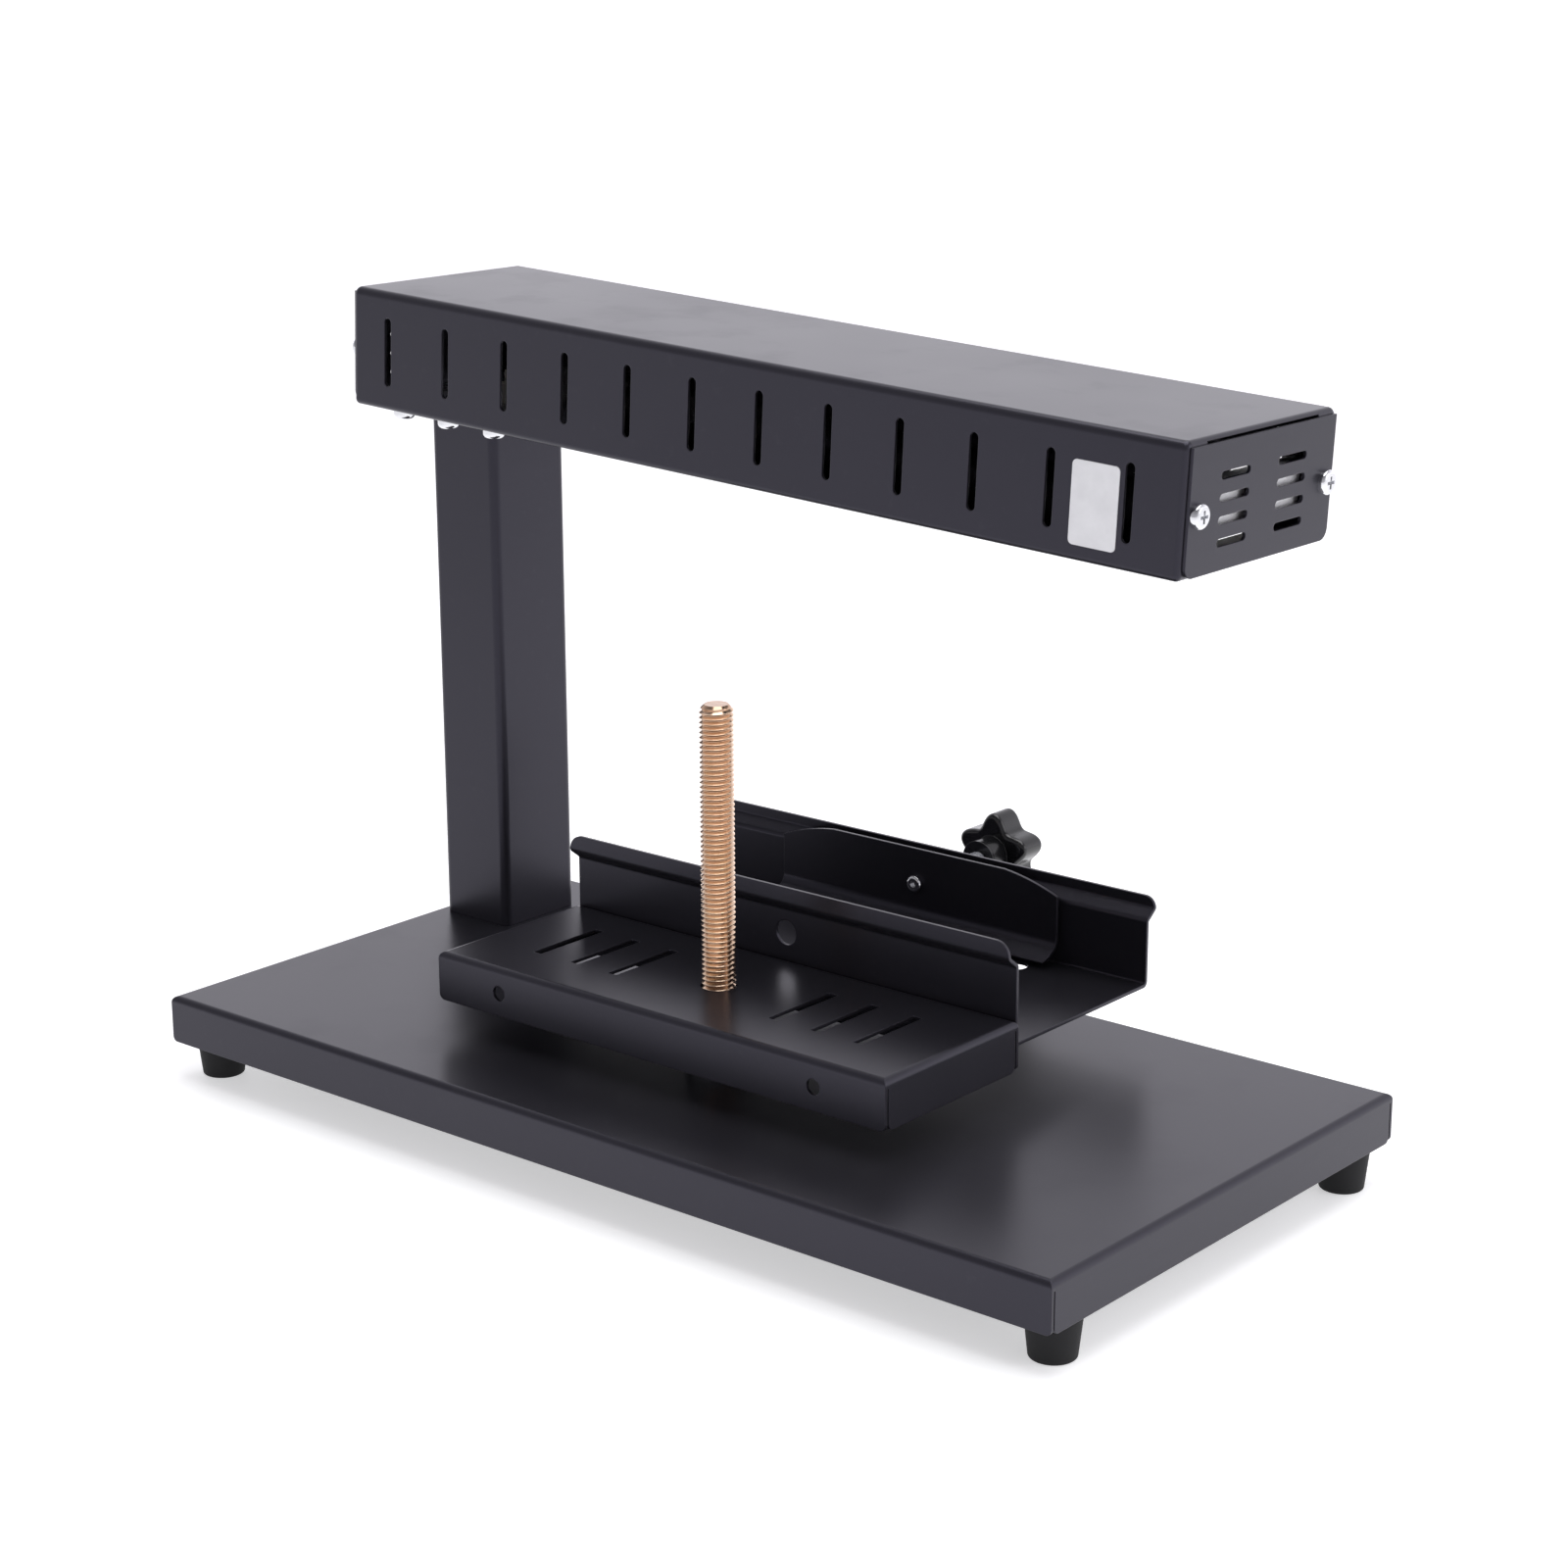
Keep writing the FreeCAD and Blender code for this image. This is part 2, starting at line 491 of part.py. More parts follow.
# ---------------------------------------------------------------- cheese cradle
def bent_sheet(points, x, bend_r):
    """A folded sheet along X. 'points' are (y, z) of one side; it thickens to their left."""
    steps = [(b[0] - a[0], b[1] - a[1]) for a, b in zip(points, points[1:])]
    left = [(-dz / math.hypot(dy, dz), dy / math.hypot(dy, dz)) for dy, dz in steps]
    before = [left[0]] + left
    after = left + [left[-1]]
    far_side = []
    for (y, z), m, n in zip(points, before, after):
        grow = SHEET / (1 + m[0] * n[0] + m[1] * n[1])
        far_side.append((y + (m[0] + n[0]) * grow, z + (m[1] + n[1]) * grow))
    loop = points + far_side[::-1] + points[:1]
    sheet = Part.Face(Part.makePolygon([V(x[0], y, z) for y, z in loop]))
    sheet = sheet.extrude(V(x[1] - x[0], 0, 0))
    for k in range(1, len(points) - 1):
        turn = steps[k - 1][0] * steps[k][1] - steps[k - 1][1] * steps[k][0]
        near_r, far_r = (bend_r + SHEET, bend_r) if turn > 0 else (bend_r, bend_r + SHEET)
        for (y, z), radius in ((points[k], near_r), (far_side[k], far_r)):
            sheet = fillet_at(sheet, radius, lambda p: math.hypot(p.y - y, p.z - z) < 0.01)
    return sheet


LIP_STEP = (5.8, 4.4)   # each long side steps outwards and up to its lip
front_lip = (CRADLE_Y[0] - LIP_STEP[0], 111.4)
rear_lip = (CRADLE_Y[1] + LIP_STEP[0], 104.4)
front_crease = 99.2
rear_crease = 94.4
cradle = bent_sheet([front_lip, (front_lip[0], front_crease + LIP_STEP[1]),
                     (CRADLE_Y[0], front_crease), (CRADLE_Y[0], CRADLE_FLOOR),
                     (CRADLE_Y[1], CRADLE_FLOOR), (CRADLE_Y[1], rear_crease),
                     (rear_lip[0], rear_crease + LIP_STEP[1]), rear_lip], CRADLE_X, 1.2)
for end, inward in ((CRADLE_X[0], 1), (CRADLE_X[1], -1)):
    for (lip_y, lip_z), round_r in ((front_lip, 7.0), (rear_lip, 5.5)):
        cradle = cradle.cut(corner_cutter((end, lip_y, lip_z), (0, 1, 0),
                                          (inward, 0, 0), (0, 0, -1), round_r, 4))
cradle = cradle.cut(rod((HOLDER_X, CRADLE_Y[0] - 2, CLAMP_Z), (0, 1, 0), 8, 5.75))
cradle = cradle.cut(rod((HOLDER_X, CRADLE_Y[1] - 5, CLAMP_Z), (0, 1, 0), 8, CLAMP_R + 0.5))
for side in (-1, 1):
    cradle = cradle.cut(rod((HOLDER_X + side * 66.0, 98.0, CRADLE_FLOOR - 2), (0, 0, 1), 6, 6.0))
save("cheese_cradle", cradle)
boss = washer(5.9, CLAMP_R + TOUCH, 8.0)
save("clamp_boss", place(boss, (HOLDER_X, CRADLE_Y[1], CLAMP_Z), (0, 1, 0)))

# ---------------------------------------------------------------- clamp plate and screw
NECK_R = 3.0
CORNER_CUT = (30.0, 7.5)    # run and drop of the plate's sloping top corners
clamp_x = (HOLDER_X - PLATE_WIDTH / 2, HOLDER_X + PLATE_WIDTH / 2)
clamp_plate = bent_sheet([(PLATE_BACK - 9.8, 67.4), (PLATE_BACK, 74.0), (PLATE_BACK, PLATE_TOP)],
                         clamp_x, 5.0)
for end, inward in ((clamp_x[0], 1), (clamp_x[1], -1)):
    low = V(end, 90, PLATE_TOP - CORNER_CUT[1])
    high = V(end + inward * CORNER_CUT[0], 90, PLATE_TOP)
    middle = (low + high) / 2 + V(0, 0, 1.1)
    outside = V(end, 90, PLATE_TOP)
    offcut = Part.Wire([Part.Arc(low, middle, high).toShape(), Part.makeLine(high, outside),
                        Part.makeLine(outside, low)])
    clamp_plate = clamp_plate.cut(Part.Face(offcut).extrude(V(0, 40, 0)))
    clamp_plate = clamp_plate.cut(corner_cutter((end, PLATE_BACK - 9.8, 67.0), (0, 1, 0),
                                                (inward, 0, 0), (0, 0, 1), 4.5, 6))
clamp_plate = clamp_plate.cut(rod((HOLDER_X, 100, CLAMP_Z), (0, 1, 0), 20, NECK_R + TOUCH))
save("clamp_plate", clamp_plate)

neck_start = PLATE_BACK - SHEET - 0.2
shoulder = PLATE_BACK + 0.3
clamp_screw = rod((HOLDER_X, neck_start, CLAMP_Z), (0, 1, 0), 3.0, NECK_R)
clamp_screw = clamp_screw.fuse(rod((HOLDER_X, shoulder, CLAMP_Z), (0, 1, 0),
                                   KNOB_Y + 14.0 - shoulder, CLAMP_R))
clamp_screw = clamp_screw.removeSplitter()
clamp_screw = clamp_screw.cut(rod((HOLDER_X, neck_start - 1, CLAMP_Z), (0, 1, 0),
                                  9.0, 1.5 + TOUCH))
save("clamp_screw", clamp_screw)

button = fillet_at(Part.makeCylinder(4.0, 2.4), 1.5, lambda p: p.z > 2.39)
hexagon = [V(1.45 * math.cos(math.radians(60 * k)), 1.45 * math.sin(math.radians(60 * k)), 1.0)
           for k in range(7)]
button = button.cut(Part.Face(Part.makePolygon(hexagon)).extrude(V(0, 0, 2)))
button = button.fuse(Part.makeCylinder(1.5, 7.0, V(0, 0, -7.0))).removeSplitter()
save("clamp_end_screw", place(button, (HOLDER_X, neck_start, CLAMP_Z), (0, -1, 0)))

# ---------------------------------------------------------------- star knob
HUB = (9.5, 9.0)        # radius and length of the neck in front of the lobes
LOBES = 5
LOBE_DEPTH = 16.0
wave = (KNOB_R - 17.0)
rim = []
for k in range(60):
    angle = math.radians(6 * k)
    reach = KNOB_R - wave + wave * math.cos(LOBES * (angle + math.pi / 2))
    rim.append(V(reach * math.cos(angle), reach * math.sin(angle), HUB[1]))
curve = Part.BSplineCurve()
curve.interpolate(rim, PeriodicFlag=True)
star = Part.Face(Part.Wire(curve.toShape())).extrude(V(0, 0, LOBE_DEPTH))
star = star.makeFillet(2.5, [e for e in star.Edges if e.BoundBox.ZLength < 0.01])
knob = star.fuse(Part.makeCone(HUB[0] - 0.8, HUB[0], HUB[1] + 2))
knob = knob.cut(Part.makeCylinder(CLAMP_R + TOUCH, 14.2, V(0, 0, -0.1)))
save("star_knob", place(knob, (HOLDER_X, KNOB_Y, CLAMP_Z), (0, 1, 0)))
disc = washer(9.0, CLAMP_R + TOUCH, 1.6)
save("knob_washer", place(disc, (HOLDER_X, KNOB_Y - 1.6, CLAMP_Z), (0, 1, 0)))
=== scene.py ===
import json
import math
import bpy
import bmesh
from mathutils import Matrix, Vector


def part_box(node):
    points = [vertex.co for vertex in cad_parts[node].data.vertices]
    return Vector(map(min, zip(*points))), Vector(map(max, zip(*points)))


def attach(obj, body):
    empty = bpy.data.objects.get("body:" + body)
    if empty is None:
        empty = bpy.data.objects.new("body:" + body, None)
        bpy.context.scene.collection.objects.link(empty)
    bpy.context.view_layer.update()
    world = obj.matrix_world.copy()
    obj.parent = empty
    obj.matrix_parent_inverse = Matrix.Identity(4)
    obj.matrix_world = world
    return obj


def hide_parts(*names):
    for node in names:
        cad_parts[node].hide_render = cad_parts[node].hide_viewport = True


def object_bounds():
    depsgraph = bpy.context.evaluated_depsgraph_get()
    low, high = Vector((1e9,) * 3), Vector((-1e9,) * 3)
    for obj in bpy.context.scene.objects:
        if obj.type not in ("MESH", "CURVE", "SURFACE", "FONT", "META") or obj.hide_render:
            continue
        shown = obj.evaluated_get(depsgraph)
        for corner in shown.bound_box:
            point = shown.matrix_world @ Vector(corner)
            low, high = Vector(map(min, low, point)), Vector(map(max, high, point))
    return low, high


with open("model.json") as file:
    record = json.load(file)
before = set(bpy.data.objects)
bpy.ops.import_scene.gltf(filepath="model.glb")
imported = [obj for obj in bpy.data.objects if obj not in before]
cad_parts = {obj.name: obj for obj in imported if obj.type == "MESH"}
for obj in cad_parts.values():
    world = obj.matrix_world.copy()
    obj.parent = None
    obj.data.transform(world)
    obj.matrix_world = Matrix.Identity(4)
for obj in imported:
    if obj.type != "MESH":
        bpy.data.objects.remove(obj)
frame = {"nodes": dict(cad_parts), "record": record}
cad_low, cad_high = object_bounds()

# A raclette cheese melter. Its CAD nodes keep their shapes and get their finishes here; the
# lift rod and the clamp screw are rebuilt as real threads. Metres, Z up.

MM = 0.001

# The view
CAMERA_PLACE = (0.8833, -1.0597, 0.5408)
CAMERA_AZIMUTH = math.radians(40.0)
CAMERA_ELEVATION = math.radians(15.72)
CAMERA_ROLL = math.radians(-0.22)
CAMERA_LENS = 74.3
CAMERA_SENSOR = 36.0
CAMERA_CLIP = (0.05, 200.0)

# Light and floor
OVERHEAD_PLACE = (0.1, 0.1, 1.7)
OVERHEAD_SIZE = (1.6, 1.2)
OVERHEAD_POWER = 18.0
RIGHT_PLACE = (1.6, 0.5, 0.9)
RIGHT_SIZE = (0.9, 0.9)
RIGHT_POWER = 3.5
SKY_COLOUR = (0.955, 0.94, 1.0, 1.0)
SKY_LOW_AND_HIGH = (1.55, 0.60)
SKY_FRONT_AND_BACK = (0.35, 1.0)
FLOOR_REACH = 40.0
FLOOR_GLOW = 0.64

# Threads: the pitches, the chamfers at the two ends, and the profile as
# (share of the pitch, share of the depth) from one crest to the next
LIFT_PITCH = 2.2 * MM
LIFT_CHAMFERS = (1.0 * MM, 2.2 * MM)
CLAMP_PITCH = 1.25 * MM
CLAMP_CHAMFERS = (1.0 * MM, 0.8 * MM)
THREAD_PROFILE = ((0.00, 1.00), (0.10, 1.00), (0.16, 0.90), (0.46, 0.10), (0.50, 0.02),
                  (0.55, 0.00), (0.60, 0.02), (0.64, 0.10), (0.94, 0.90))
THREAD_DEPTH = 0.60             # of the pitch
THREAD_STEPS = 72               # round one turn
SHARP_CORNER = math.radians(32)
MERGE_WITHIN = 1e-7
ZERO_LENGTH = 1e-8

nodes = frame["nodes"]
slot_of = {part["node"]: part["material_slot"] for part in frame["record"]["subparts"]}


# ---------------------------------------------------------------- shader helpers
class Shader:
    """A material's node tree, with short ways to add and join nodes."""

    def __init__(self, name):
        self.material = bpy.data.materials.new(name)
        self.material.use_nodes = True
        self.tree = self.material.node_tree
        self.surface = self.tree.nodes["Principled BSDF"]
        self.place = self.add("ShaderNodeTexCoord").outputs["Object"]

    def add(self, kind, **values):
        node = self.tree.nodes.new(kind)
        for key, value in values.items():
            if hasattr(node, key):
                setattr(node, key, value)
            else:
                node.inputs[key].default_value = value
        return node

    def join(self, source, target):
        self.tree.links.new(source, target)

    def set(self, **values):
        for key, value in values.items():
            self.surface.inputs[key.replace("_", " ")].default_value = value

    def stretched(self, scale):
        """Object coordinates scaled differently along each axis."""
        node = self.add("ShaderNodeMapping")
        node.inputs["Scale"].default_value = scale
        self.join(self.place, node.inputs["Vector"])
        return node.outputs["Vector"]

    def noise(self, scale, detail=3.0, rough=0.5, where=None):
        node = self.add("ShaderNodeTexNoise", Scale=scale, Detail=detail, Roughness=rough)
        self.join(where or self.place, node.inputs["Vector"])
        return node.outputs["Fac"]

    def ramp(self, value, low, high, first, last):
        """Maps value from low..high to first..last, kept between them."""
        node = self.add("ShaderNodeMapRange")
        for key, number in (("From Min", low), ("From Max", high), ("To Min", first),
                            ("To Max", last)):
            node.inputs[key].default_value = number
        self.join(value, node.inputs["Value"])
        return node.outputs["Result"]

    def math(self, operation, a, b):
        node = self.add("ShaderNodeMath", operation=operation)
        for value, socket in ((a, node.inputs[0]), (b, node.inputs[1])):
            if isinstance(value, (int, float)):
                socket.default_value = value
            else:
                self.join(value, socket)
        return node.outputs["Value"]

    def mix(self, amount, a, b):
        """Blends two colours, each a tuple or an output."""
        node = self.add("ShaderNodeMix", data_type="RGBA")
        self.join(amount, node.inputs["Factor"])
        for value, socket in ((a, node.inputs[6]), (b, node.inputs[7])):
            if isinstance(value, tuple):
                socket.default_value = (*value, 1.0)
            else:
                self.join(value, socket)
        return node.outputs[2]

    def edges(self, radius):
        """1 on sharp edges and 0 on flats, and the rounded normal that goes with it."""
        bevel = self.add("ShaderNodeBevel", samples=6, Radius=radius)
        geometry = self.add("ShaderNodeNewGeometry")
        dot = self.add("ShaderNodeVectorMath", operation="DOT_PRODUCT")
        self.join(bevel.outputs["Normal"], dot.inputs[0])
        self.join(geometry.outputs["Normal"], dot.inputs[1])
        mask = self.ramp(dot.outputs["Value"], 0.995, 0.80, 0.0, 1.0)
        return mask, bevel.outputs["Normal"]

    def bump(self, height, strength, distance, normal=None):
        node = self.add("ShaderNodeBump", Strength=strength, Distance=distance)
        self.join(height, node.inputs["Height"])
        if normal is not None:
            self.join(normal, node.inputs["Normal"])
        self.join(node.outputs["Normal"], self.surface.inputs["Normal"])


# ---------------------------------------------------------------- finishes
def powder_coat():
    """Satin black powder coat on sheet steel: orange peel, handling marks, worn edges."""
    s = Shader("black_coat")
    peel = s.noise(850.0, 2.0)
    cloud = s.noise(9.0, 3.0, 0.5)
    fine = s.noise(180.0, 5.0, 0.65)
    rubbed = s.noise(1.0, 4.0, 0.6, s.stretched((24.0, 24.0, 240.0)))
    edge, normal = s.edges(0.0006)
    worn = s.math("MULTIPLY", edge, s.ramp(fine, 0.42, 0.62, 0.3, 1.0))
    tone = s.mix(s.ramp(cloud, 0.3, 0.7, 0.0, 1.0), (0.0125, 0.0120, 0.0150),
                 (0.0160, 0.0154, 0.0190))
    tone = s.mix(s.ramp(fine, 0.60, 0.72, 0.0, 0.25), tone, (0.030, 0.029, 0.034))
    tone = s.mix(s.math("MULTIPLY", worn, 0.4), tone, (0.075, 0.073, 0.082))
    s.join(tone, s.surface.inputs["Base Color"])
    gloss = s.math("ADD", s.ramp(cloud, 0.3, 0.7, 0.285, 0.315),
                   s.ramp(rubbed, 0.52, 0.75, 0.0, 0.035))
    s.join(gloss, s.surface.inputs["Roughness"])
    s.set(IOR=1.455, Specular_Tint=(0.80, 0.77, 1.0, 1.0))
    s.bump(peel, 0.16, 0.00005, normal)
    return s.material


def rubber():
    """Moulded black rubber with a dusty bloom."""
    s = Shader("foot_rubber")
    bloom = s.noise(60.0, 5.0, 0.7)
    grit = s.noise(1400.0, 2.0)
    edge, normal = s.edges(0.0008)
    tone = s.mix(s.ramp(bloom, 0.35, 0.7, 0.0, 1.0), (0.006, 0.006, 0.007),
                 (0.015, 0.015, 0.016))
    tone = s.mix(s.math("MULTIPLY", edge, 0.5), tone, (0.034, 0.033, 0.033))
    s.join(tone, s.surface.inputs["Base Color"])
    s.join(s.ramp(bloom, 0.3, 0.7, 0.60, 0.80), s.surface.inputs["Roughness"])
    s.set(IOR=1.36)
    s.bump(grit, 0.4, 0.00008, normal)
    return s.material


def metal(name, bright, dull, rough, grain=(400.0, 400.0, 400.0), stain=None, strength=0.15):
    """A bare or plated metal: uneven tone, fine grain in one direction, brighter edges."""
    s = Shader(name)
    cloud = s.noise(90.0, 4.0, 0.6)
    lines = s.noise(1.0, 4.0, 0.6, s.stretched(grain))
    edge, normal = s.edges(0.00025)
    tone = s.mix(s.ramp(cloud, 0.3, 0.72, 0.0, 1.0), bright, dull)
    if stain:
        patch = s.ramp(s.noise(26.0, 5.0, 0.7), 0.52, 0.74, 0.0, 0.7)
        tone = s.mix(patch, tone, stain)
    tone = s.mix(s.math("MULTIPLY", edge, 0.3), tone, tuple(min(1.0, c * 1.25) for c in bright))
    s.join(tone, s.surface.inputs["Base Color"])
    spread = s.math("ADD", s.ramp(cloud, 0.3, 0.7, rough * 0.75, rough * 1.2),
                    s.ramp(lines, 0.4, 0.7, 0.0, rough * 0.3))
    s.join(spread, s.surface.inputs["Roughness"])
    s.set(Metallic=1.0)
    s.bump(lines, strength, 0.00002, normal)
    return s.material


def plated_thread():
    """Yellow-zinc plating on a cut thread: copper tones, with painted shade that darkens it
    towards the roots.
    """
    s = Shader("yellow_zinc")
    cloud = s.noise(150.0, 4.0, 0.6)
    patch = s.noise(40.0, 4.0, 0.7)
    tone = s.mix(s.ramp(cloud, 0.3, 0.7, 0.0, 1.0), (0.86, 0.65, 0.49), (0.76, 0.54, 0.38))
    tone = s.mix(s.ramp(patch, 0.5, 0.75, 0.0, 0.6), tone, (0.82, 0.66, 0.45))
    apart = s.add("ShaderNodeSeparateXYZ")
    s.join(s.place, apart.inputs["Vector"])
    radius = s.math("SQRT", s.math("ADD", s.math("POWER", apart.outputs["X"], 2.0),
                                   s.math("POWER", apart.outputs["Y"], 2.0)), 0.0)
    # painted shade: the base colour turns dark brown towards the thread roots, where the
    # grooves are shaded
    painted_root_shade = s.ramp(radius, 0.0062, 0.0074, 0.6, 0.0)
    s.join(s.mix(painted_root_shade, tone, (0.30, 0.16, 0.09)), s.surface.inputs["Base Color"])
    s.join(s.ramp(cloud, 0.3, 0.7, 0.13, 0.22), s.surface.inputs["Roughness"])
    s.set(Metallic=1.0)
    return s.material


def plastic(name, dark, light, rough, grain_scale, strength, coat=0.0):
    """A moulded plastic: slight mottling, a fine skin and softened edges."""
    s = Shader(name)
    cloud = s.noise(40.0, 4.0, 0.6)
    skin = s.noise(grain_scale, 2.0)
    edge, normal = s.edges(0.0006)
    tone = s.mix(s.ramp(cloud, 0.3, 0.7, 0.0, 1.0), dark, light)
    tone = s.mix(s.math("MULTIPLY", edge, 0.3), tone, tuple(c * 3 + 0.01 for c in light))
    s.join(tone, s.surface.inputs["Base Color"])
    s.join(s.ramp(cloud, 0.25, 0.75, rough * 0.8, rough * 1.25), s.surface.inputs["Roughness"])
    if coat:
        s.set(Coat_Weight=coat, Coat_Roughness=0.08)
    s.bump(skin, strength, 0.00004, normal)
    return s.material


def quartz():
    """Frosted quartz tube."""
    s = Shader("quartz")
    frost = s.noise(700.0, 3.0)
    bands = s.noise(1.0, 3.0, 0.6, s.stretched((60.0, 300.0, 300.0)))
    s.join(s.mix(s.ramp(bands, 0.35, 0.7, 0.0, 1.0), (0.86, 0.86, 0.84), (0.66, 0.65, 0.61)),
           s.surface.inputs["Base Color"])
    s.join(s.ramp(frost, 0.3, 0.7, 0.22, 0.42), s.surface.inputs["Roughness"])
    s.set(Transmission_Weight=0.35, IOR=1.46)
    s.bump(frost, 0.3, 0.00004)
    return s.material


def ceramic():
    """Unglazed steatite with heat staining."""
    s = Shader("white_ceramic")
    cloud = s.noise(120.0, 5.0, 0.7)
    grit = s.noise(1600.0, 2.0)
    edge, normal = s.edges(0.0004)
    tone = s.mix(s.ramp(cloud, 0.35, 0.75, 0.0, 1.0), (0.80, 0.78, 0.72), (0.62, 0.57, 0.48))
    s.join(s.mix(s.math("MULTIPLY", edge, 0.4), tone, (0.90, 0.89, 0.85)),
           s.surface.inputs["Base Color"])
    s.join(s.ramp(cloud, 0.3, 0.7, 0.5, 0.7), s.surface.inputs["Roughness"])
    s.bump(grit, 0.35, 0.00005, normal)
    return s.material


def blank_label():
    """A plain white plastic label with faint mottling and no printing."""
    s = Shader("label")
    cloud = s.noise(70.0, 4.0, 0.6)
    skin = s.noise(900.0, 2.0)
    edge, normal = s.edges(0.0004)
    tone = s.mix(s.ramp(cloud, 0.3, 0.7, 0.0, 1.0), (0.84, 0.84, 0.86), (0.74, 0.74, 0.76))
    s.join(s.mix(s.math("MULTIPLY", edge, 0.6), tone, (0.50, 0.50, 0.52)),
           s.surface.inputs["Base Color"])
    s.join(s.ramp(cloud, 0.3, 0.7, 0.34, 0.48), s.surface.inputs["Roughness"])
    s.bump(skin, 0.15, 0.00003, normal)
    return s.material


finishes = {
    "black_coat": powder_coat(),
    "foot_rubber": rubber(),
    "zinc_steel": metal("zinc_steel", (0.52, 0.53, 0.56), (0.38, 0.39, 0.43), 0.26,
                        stain=(0.40, 0.39, 0.34)),
    "chrome": metal("chrome", (0.80, 0.80, 0.82), (0.64, 0.65, 0.67), 0.10, strength=0.05),
    "black_plastic": plastic("black_plastic", (0.012, 0.012, 0.013), (0.022, 0.022, 0.023),
                             0.5, 1200.0, 0.35),
    "bright_aluminium": metal("bright_aluminium", (0.86, 0.86, 0.87), (0.72, 0.71, 0.70), 0.20,
                              (20.0, 900.0, 900.0), stain=(0.62, 0.52, 0.38)),
    "stainless": metal("stainless", (0.72, 0.72, 0.72), (0.56, 0.55, 0.54), 0.28,
                       (900.0, 40.0, 900.0), stain=(0.58, 0.48, 0.34)),
    "quartz": quartz(),
    "white_ceramic": ceramic(),
    "nickel_wire": metal("nickel_wire", (0.62, 0.59, 0.53), (0.40, 0.38, 0.34), 0.35),
    "label": blank_label(),
    "yellow_zinc": plated_thread(),
    "knob_plastic": plastic("knob_plastic", (0.005, 0.005, 0.006), (0.009, 0.009, 0.010),
                            0.20, 700.0, 0.10, coat=0.15),
}
for name, part in nodes.items():
    part.data.materials.clear()
    part.data.materials.append(finishes[slot_of[name]])
# the bracket behind the end cap's slots is the same metal with a satin surface
nodes["element_bracket_right"].data.materials[0] = metal(
    "satin_aluminium", (0.95, 0.95, 0.96), (0.88, 0.88, 0.89), 0.65, stain=(0.80, 0.78, 0.74))


# ---------------------------------------------------------------- threads
def thread_point(layer, step, radius, pitch, length, chamfers):
    """The point of a thread's surface in one layer of its helix, one step round."""
    rows = len(THREAD_PROFILE)
    share, drop = THREAD_PROFILE[layer % rows]
    z = (layer // rows + share - 1 + step / THREAD_STEPS) * pitch
    z = min(max(z, 0.0), length)
    reach = radius - THREAD_DEPTH * pitch * drop
    reach = min(reach, radius - chamfers[0] + z, radius - chamfers[1] + length - z)
    angle = 2 * math.pi * step / THREAD_STEPS
    return reach * math.cos(angle), reach * math.sin(angle), z


def thread(name, radius, pitch, length, chamfers):
    """A closed, threaded bar along +Z from the origin, its crests at 'radius'."""
    rows = len(THREAD_PROFILE)
    layers = int(math.ceil(length / pitch + 2)) * rows
    mesh = bmesh.new()
    grid = []
    for layer in range(layers + 1):
        grid.append([mesh.verts.new(thread_point(layer, step, radius, pitch, length, chamfers))
                     for step in range(THREAD_STEPS)])
    for layer in range(layers - rows):
        for step in range(THREAD_STEPS):
            # the last step of a turn joins the first step one pitch higher
            lap = rows if step + 1 == THREAD_STEPS else 0
            after = (step + 1) % THREAD_STEPS
            mesh.faces.new((grid[layer][step], grid[layer + lap][after],
                            grid[layer + lap + 1][after], grid[layer + 1][step]))
    bmesh.ops.remove_doubles(mesh, verts=mesh.verts[:], dist=MERGE_WITHIN)
    bmesh.ops.dissolve_degenerate(mesh, edges=mesh.edges[:], dist=ZERO_LENGTH)
    bmesh.ops.holes_fill(mesh, edges=mesh.edges[:], sides=0)
    loose = [v for v in mesh.verts if not v.link_faces]
    bmesh.ops.delete(mesh, geom=loose, context="VERTS")
    bmesh.ops.recalc_face_normals(mesh, faces=mesh.faces[:])
    for edge in mesh.edges:
        if len(edge.link_faces) == 2 and edge.calc_face_angle() > SHARP_CORNER:
            edge.smooth = False
    for face in mesh.faces:
        face.smooth = True
    data = bpy.data.meshes.new(name)
    mesh.to_mesh(data)
    mesh.free()
    piece = bpy.data.objects.new(name, data)
    bpy.context.collection.objects.link(piece)
    return piece


def stand_in(node, piece_name, pitch, axis, chamfers, slot, body):
    """Replaces a plain round CAD bar along Y (axis 1) or Z (axis 2) with a threaded one of
    the same size."""
    low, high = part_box(node)
    low, high = Vector(low), Vector(high)
    size = high - low
    radius = size[(axis + 1) % 3] / 2
    piece = thread(piece_name, radius, pitch, size[axis], chamfers)
    start = (low + high) / 2
    start[axis] = low[axis]
    piece.matrix_world = Matrix.Translation(start)
    if axis == 1:
        piece.matrix_world = piece.matrix_world @ Matrix.Rotation(-math.pi / 2, 4, "X")
    piece.data.materials.append(finishes[slot])
    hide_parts(node)
    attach(piece, body)
    return piece


stand_in("lift_rod", "lift_rod_thread", LIFT_PITCH, 2, LIFT_CHAMFERS, "yellow_zinc", "stand")
stand_in("clamp_screw", "clamp_screw_thread", CLAMP_PITCH, 1, CLAMP_CHAMFERS, "zinc_steel",
         "clamp_screw")

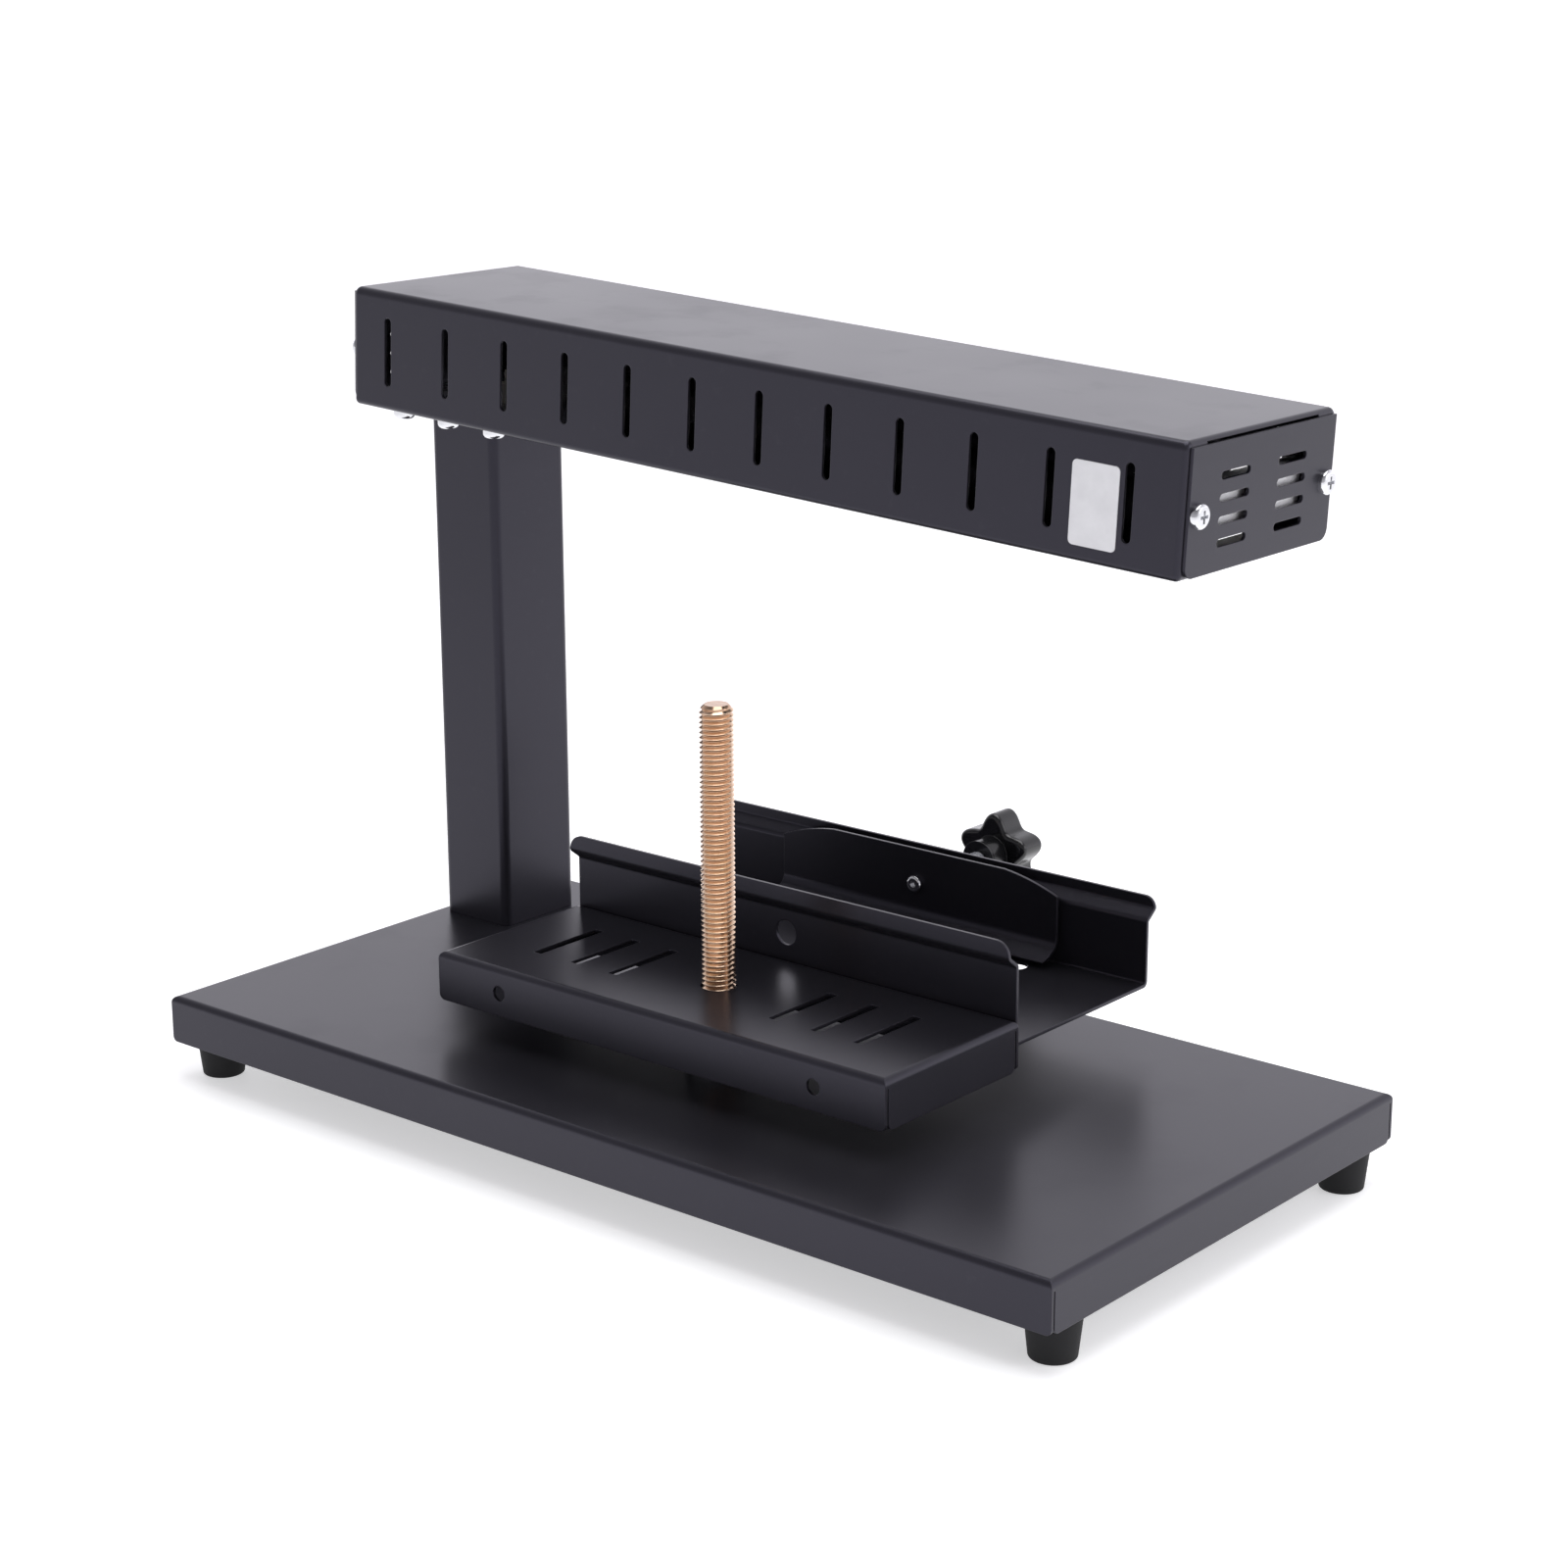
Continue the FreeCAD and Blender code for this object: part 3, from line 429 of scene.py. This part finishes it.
# ---------------------------------------------------------------- floor
floor_mesh = bpy.data.meshes.new("floor")
floor_corners = [(x * FLOOR_REACH, y * FLOOR_REACH, 0)
                 for x, y in ((-1, -1), (1, -1), (1, 1), (-1, 1))]
floor_mesh.from_pydata(floor_corners, [], [(0, 1, 2, 3)])
floor = bpy.data.objects.new("floor", floor_mesh)
bpy.context.collection.objects.link(floor)
floor.location.z = cad_low.z
pale = Shader("pale_floor")
pale_tone = pale.mix(pale.ramp(pale.noise(2.0, 2.0), 0.3, 0.7, 0.0, 1.0), (0.80, 0.80, 0.805),
                     (0.82, 0.82, 0.825))
pale.join(pale_tone, pale.surface.inputs["Base Color"])
pale.join(pale_tone, pale.surface.inputs["Emission Color"])
pale.set(Roughness=0.6, IOR=1.3, Emission_Strength=FLOOR_GLOW)
# clear when seen from below, so that the underside shows
below = pale.add("ShaderNodeNewGeometry").outputs["Backfacing"]
clear = pale.add("ShaderNodeBsdfTransparent")
blend = pale.add("ShaderNodeMixShader")
pale.join(below, blend.inputs[0])
pale.join(pale.surface.outputs["BSDF"], blend.inputs[1])
pale.join(clear.outputs["BSDF"], blend.inputs[2])
pale.join(blend.outputs["Shader"], pale.tree.nodes["Material Output"].inputs["Surface"])
floor_mesh.materials.append(pale.material)

# ---------------------------------------------------------------- light
world = bpy.data.worlds.new("studio")
bpy.context.scene.world = world
world.use_nodes = True
sky = world.node_tree
background = sky.nodes["Background"]
direction = sky.nodes.new("ShaderNodeTexCoord")
split = sky.nodes.new("ShaderNodeSeparateXYZ")
sky.links.new(direction.outputs["Generated"], split.inputs["Vector"])


def sky_ramp(value, low, high, first, last):
    """Maps value from low..high to first..last, kept between them."""
    node = sky.nodes.new("ShaderNodeMapRange")
    for key, number in (("From Min", low), ("From Max", high), ("To Min", first),
                        ("To Max", last)):
        node.inputs[key].default_value = number
    sky.links.new(value, node.inputs["Value"])
    return node.outputs["Result"]


def sky_product(a, b):
    """Two outputs multiplied."""
    node = sky.nodes.new("ShaderNodeMath")
    node.operation = "MULTIPLY"
    sky.links.new(a, node.inputs[0])
    sky.links.new(b, node.inputs[1])
    return node.outputs["Value"]


rise = sky_ramp(split.outputs["Z"], 0.1, 0.9, *SKY_LOW_AND_HIGH)
back = sky_ramp(split.outputs["Y"], -0.5, 0.5, *SKY_FRONT_AND_BACK)
sky.links.new(sky_product(rise, back), background.inputs["Strength"])
background.inputs["Color"].default_value = SKY_COLOUR


def softbox(name, place, aim, size, power):
    """A rectangular area light that faces 'aim'."""
    light = bpy.data.lights.new(name, "AREA")
    light.shape = "RECTANGLE"
    light.size, light.size_y = size
    light.energy = power
    box = bpy.data.objects.new(name, light)
    bpy.context.collection.objects.link(box)
    box.location = place
    box.rotation_euler = (Vector(aim) - Vector(place)).to_track_quat("-Z", "Y").to_euler()


centre = (cad_low + cad_high) / 2
softbox("overhead", OVERHEAD_PLACE, centre, OVERHEAD_SIZE, OVERHEAD_POWER)
softbox("right_side", RIGHT_PLACE, centre, RIGHT_SIZE, RIGHT_POWER)

# ---------------------------------------------------------------- camera
camera_data = bpy.data.cameras.new("camera")
camera_data.lens = CAMERA_LENS
camera_data.sensor_width = CAMERA_SENSOR
camera_data.clip_start, camera_data.clip_end = CAMERA_CLIP
camera = bpy.data.objects.new("camera", camera_data)
bpy.context.collection.objects.link(camera)
camera.location = CAMERA_PLACE
forward = Vector((-math.sin(CAMERA_AZIMUTH) * math.cos(CAMERA_ELEVATION),
                  math.cos(CAMERA_AZIMUTH) * math.cos(CAMERA_ELEVATION),
                  -math.sin(CAMERA_ELEVATION)))
level_side = forward.cross(Vector((0, 0, 1))).normalized()
side = Matrix.Rotation(-CAMERA_ROLL, 3, forward) @ level_side
upward = side.cross(forward)
camera.rotation_euler = Matrix((side, upward, -forward)).transposed().to_euler()
bpy.context.scene.camera = camera
bpy.context.scene.view_settings.view_transform = "Standard"
